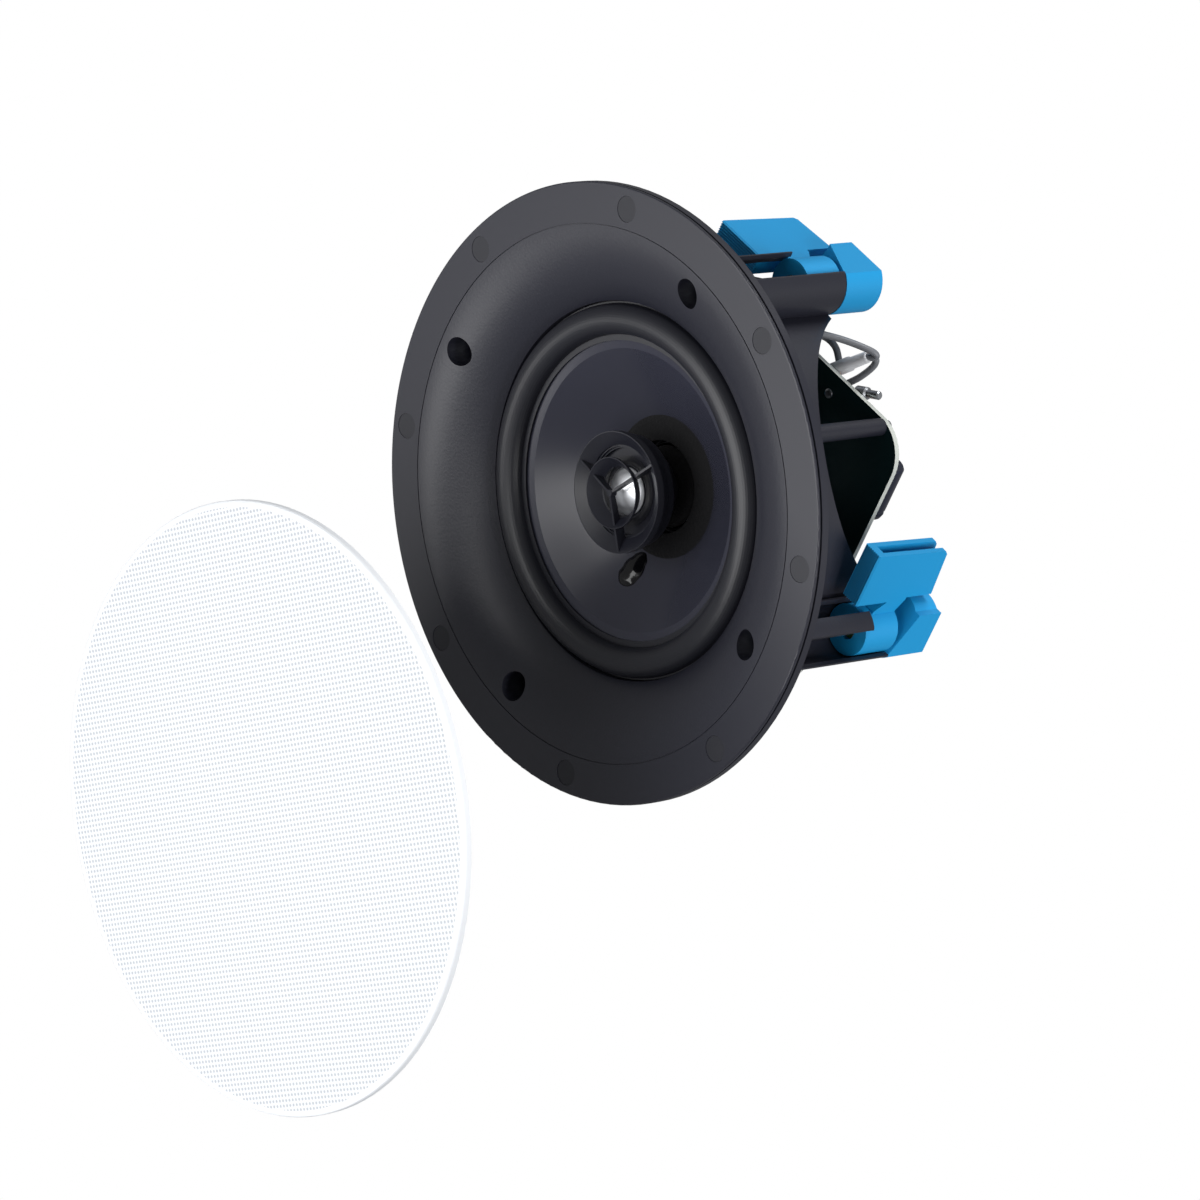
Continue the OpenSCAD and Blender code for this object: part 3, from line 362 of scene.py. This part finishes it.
def foam_neck():
    """Rough black foam round the stem, filling the neck of the cone inside the voice coil."""
    # Radius and depth of the rings, from the stem outwards.
    rings = [(7.1, 36.5), (8.0, 34.6), (10.0, 34.0), (12.5, 34.2), (14.6, 34.9), (15.2, 36.5)]
    count, lump_mm, points = 120, 0.35, []
    for radius, depth in rings:
        for k in range(count):
            angle = math.tau * k / count
            lump = noise.noise(Vector((math.cos(angle), math.sin(angle), 0)) * radius * 1.1)
            points.append(place_mm(
                radius * math.cos(angle), radius * math.sin(angle), depth + lump_mm * lump))
    new_piece("foam_neck_filling", points, ring_faces(len(rings), count), "foam", "frame")


def glue_blob():
    """Lumpy drop of set glue over the voice coil's leads, running from near the neck down the cone."""
    angle, radius, depth = math.radians(79), 33.5, 29.9  # the middle of the drop on the cone
    half_length, half_width, height_mm, sunk_mm = 7.4, 5.8, 2.2, 0.1
    rows, count = 25, 40
    outward = Vector((math.cos(angle), math.sin(angle), 0))
    sideways = Vector((-math.sin(angle), math.cos(angle), 0))
    slope = math.radians(31)  # of the cone's face there
    along = outward * math.cos(slope) - Vector((0, 0, math.sin(slope)))
    off = -outward * math.sin(slope) - Vector((0, 0, math.cos(slope)))
    centre = outward * radius * MM + Vector((0, 0, place_mm(0, 0, depth).z))
    points = []
    for i in range(rows):
        u = -math.cos(math.pi * (i + 0.5) / rows)
        belly = math.sqrt(1 - u * u) * (0.86 + 0.2 * u)
        for k in range(count):
            turn = math.tau * k / count
            side, rise = math.cos(turn) * belly, math.sin(turn) * belly
            lump = 1 + 0.16 * noise.noise(Vector((u * 2.2, side * 2.2, rise * 1.2)) + Vector((3, 1, 4)))
            height = max(rise * height_mm * lump, -sunk_mm)
            points.append(centre + (
                along * u * half_length + sideways * side * half_width * lump + off * height) * MM)
    blob = new_piece("set_glue_drop", points, closed_grid(rows, count), "glue", "cone")
    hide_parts("lead_glue")


def stepped_rod(name, root, end, steps, material):
    """A straight rod from root to end; steps are pairs of share of the length and radius."""
    return tube(name, [root.lerp(end, share) for share, radius in steps],
                [radius for share, radius in steps], material, "frame")


def routed_wire(name, stops):
    """A wire through stops of x, y and depth, each chosen from the photograph."""
    return tube(name, smooth_path([place_mm(*stop) for stop in stops]), WIRE_RADIUS_MM, "wire", "frame")


def driver_wires():
    """Wires from the driver's tags to the board, with a vinyl sleeve and a bare push-on clip."""
    sleeve = stepped_rod(
        "vinyl_sleeve", place_mm(11.6, -56.8, 82), place_mm(23.9, -72, 82),
        [(0, 2.4), (0.03, 2.8), (0.5, 2.8), (0.55, 2.3), (0.97, 2.2), (1, 1.8)], "sleeve")
    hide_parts("push_on_connectors")
    stepped_rod(
        "bare_push_on_clip", place_mm(26.1, -57.8, 82), place_mm(36.4, -63.4, 82),
        [(0, 2.0), (0.04, 2.4), (0.45, 2.4), (0.5, 1.6), (0.96, 1.6), (1, 1.2)], "screws")
    for name, x, y in (("sleeved_tab", 11.2, -56.4), ("clip_tab", 26.6, -58.1)):
        tube(name, [place_mm(x, y, 79), place_mm(x, y, 82.6)], TAB_RADIUS_MM, "screws", "frame", sides=4)
    first = routed_wire("upper_driver_wire", [
        (5, -67.6, 29.5), (4, -70, 45), (0, -68.5, 65), (1.4, -65.8, 80),
        (7, -65.2, 82.5), (11.4, -62.5, 82.5), (14.5, -59, 82), (15.5, -57, 80.2)])
    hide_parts("woofer_wires")
    routed_wire("lower_driver_wire", [
        (-5, -67.6, 29.5), (0, -72.5, 50), (14, -75, 70), (24, -75.5, 80),
        (26.5, -74, 83), (23.6, -71.7, 82)])
    routed_wire("link_wire", [
        (23.5, -71.5, 82), (25.8, -72.2, 84.2), (25.5, -68.5, 85.2), (22.8, -62, 84.5),
        (20.3, -57.4, 82.5), (19.6, -55.6, 80.2)])


def board_rivet():
    """Bright rivet head on the front of the board, below the sleeved tab."""
    dome = [(77, 1.85), (76.5, 1.75), (76.1, 1.2), (75.9, 0.4)]  # depth and radius
    tube("board_rivet", [place_mm(18.5, -52, depth) for depth, radius in dome],
         [radius for depth, radius in dome], "screws", "frame", sides=32)


foam_neck()
glue_blob()
driver_wires()
board_rivet()

# Camera, light and background

CAMERA_PLACE = Vector((1.0797, -0.9525, -1.3210))
RIGHT = Vector((0.58178, -0.35383, 0.73234))
DOWN = Vector((0.60706, 0.78814, -0.10148))
FORWARD = Vector((-0.54128, 0.50362, 0.67333))
PHOTO_PIXELS = 1200  # the photograph's width
FOCAL_PIXELS = 5356.65  # focal length on the same scale

camera = bpy.data.cameras.new("photo_camera")
camera_object = bpy.data.objects.new("photo_camera", camera)
bpy.context.scene.collection.objects.link(camera_object)
camera.sensor_width = 36.0
camera.lens = FOCAL_PIXELS / PHOTO_PIXELS * camera.sensor_width
camera.clip_start, camera.clip_end = 0.05, 50.0
pose = Matrix((RIGHT, -DOWN, -FORWARD)).transposed().to_4x4()
pose.translation = CAMERA_PLACE
camera_object.matrix_world = pose
bpy.context.scene.camera = camera_object


def soft_lamp(name, toward, distance, size, watts):
    """A square soft lamp, seen from the object in the direction toward."""
    lamp = bpy.data.lights.new(name, "AREA")
    lamp.shape, lamp.size, lamp.energy = "SQUARE", size, watts
    lamp_object = bpy.data.objects.new(name, lamp)
    bpy.context.scene.collection.objects.link(lamp_object)
    spot = Vector(toward).normalized() * distance
    lamp_object.location = spot
    lamp_object.rotation_euler = (-spot).to_track_quat("-Z", "Y").to_euler()


# Directions as the photograph shows them: left, right, up and towards the camera.
LEFT, UP, NEAR = -RIGHT, -DOWN, -FORWARD
soft_lamp("softbox_left", LEFT * 1.0 - UP * 0.24 + NEAR * 0.75, 1.4, 1.7, 31)
soft_lamp("fill_low_right", -LEFT * 1.0 - UP * 0.45 + NEAR * 0.9, 1.9, 1.0, 28)
soft_lamp("lamp_above", UP * 1.0 - LEFT * 0.5 + NEAR * 0.35, 1.7, 0.8, 18)

ROOM_LEVEL = 0.24  # what the pieces see of the room round them, as a share of white
FLOOR_GLOW = 0.62  # what the floor adds to its own colour for the camera alone
FLOOR_SIZE, FLOOR_DROP = 12.0, 3.0  # metres from its middle to an edge, and below the origin

world = bpy.data.worlds.new("white_studio")
bpy.context.scene.world = world
world.use_nodes = True
sky = world.node_tree
background = sky.nodes["Background"]
ray = add_node(sky, "ShaderNodeLightPath")
level = add_node(sky, "ShaderNodeMapRange", None, {
    "Value": ray.outputs["Is Camera Ray"], "To Min": ROOM_LEVEL, "To Max": 1.0})
background.inputs["Color"].default_value = (1, 1, 1, 1)
sky.links.new(level.outputs["Result"], background.inputs["Strength"])

floor_material, floor_tree, floor_shader = new_material(
    "pale_floor", Base_Color=linear("#F4F4F4"), Roughness=0.9)
# The floor stays pale to the eye without lighting the speaker's front, which faces it.
floor_seen = add_node(floor_tree, "ShaderNodeMath", {"operation": "MULTIPLY"}, {
    0: add_node(floor_tree, "ShaderNodeLightPath").outputs["Is Camera Ray"], 1: FLOOR_GLOW})
floor_shader.inputs["Emission Color"].default_value = (1, 1, 1, 1)
floor_tree.links.new(floor_seen.outputs[0], floor_shader.inputs["Emission Strength"])
floor_mesh = bpy.data.meshes.new("floor")
floor_mesh.from_pydata(
    [(x * FLOOR_SIZE, y * FLOOR_SIZE, -FLOOR_DROP) for x, y in ((-1, -1), (1, -1), (1, 1), (-1, 1))],
    [], [(0, 1, 2, 3)])
floor_mesh.materials.append(floor_material)
floor = bpy.data.objects.new("floor", floor_mesh)
bpy.context.scene.collection.objects.link(floor)

bpy.context.scene.view_settings.view_transform = "Standard"
